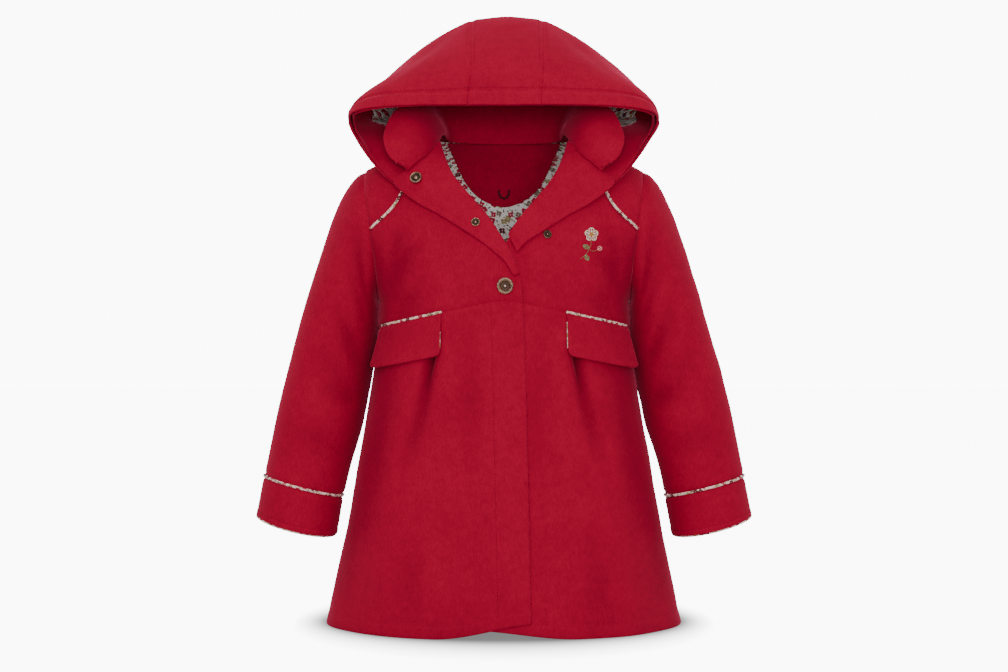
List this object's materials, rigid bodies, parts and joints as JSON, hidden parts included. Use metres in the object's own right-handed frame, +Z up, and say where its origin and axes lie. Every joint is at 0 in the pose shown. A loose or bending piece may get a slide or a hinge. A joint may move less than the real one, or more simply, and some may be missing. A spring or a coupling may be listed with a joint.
{
  "type": "hooded wool coat",
  "caption": "Small girl's hooded A-line coat, filled out as worn, open at the neck with turned-out lapels, print piping and pocket flaps.",
  "frame": {"origin": "between the shoulders of the wearer, level with the inner end of the shoulder tips", "axes": "+Z up, the front faces -Y, +X is the wearer's left"},
  "size_m": [0.5078, 0.2513, 0.621],
  "materials": {
    "wool": "brushed cranberry wool with a short soft nap",
    "lining": "matte cotton with a small scattered flower print",
    "piping": "matte cotton piping cut from a flower print",
    "horn": "polished brown horn look",
    "brass": "aged brass, satin"
  },
  "bodies": {
    "root": {"bodice_back": "wool", "skirt_back": "wool", "back_neck_facing": "wool", "collar": "wool", "hood_centre": "wool", "hood_rim_facing": "wool", "bodice_front_right": "wool", "bodice_front_left": "wool", "yoke_right": "wool", "yoke_left": "wool", "skirt_front_right": "wool", "skirt_front_left": "wool", "lapel_right": "wool", "lapel_left": "wool", "pocket_flap_right": "wool", "pocket_flap_left": "wool", "sleeve_right": "wool", "sleeve_left": "wool", "cuff_right": "wool", "cuff_left": "wool", "hood_side_right": "wool", "hood_side_left": "wool", "back_lining": "lining", "hood_lining": "lining", "neck_loop": "piping", "flap_edging_right": "piping", "flap_edging_left": "piping", "flap_piping_right": "piping", "flap_piping_left": "piping", "yoke_piping_right": "piping", "yoke_piping_left": "piping", "cuff_piping_right": "piping", "cuff_piping_left": "piping", "cuff_edging_right": "piping", "cuff_edging_left": "piping", "front_button": "horn", "lapel_snap": "brass", "roll_snap": "brass", "under_snap": "brass"}
  },
  "joints": []
}
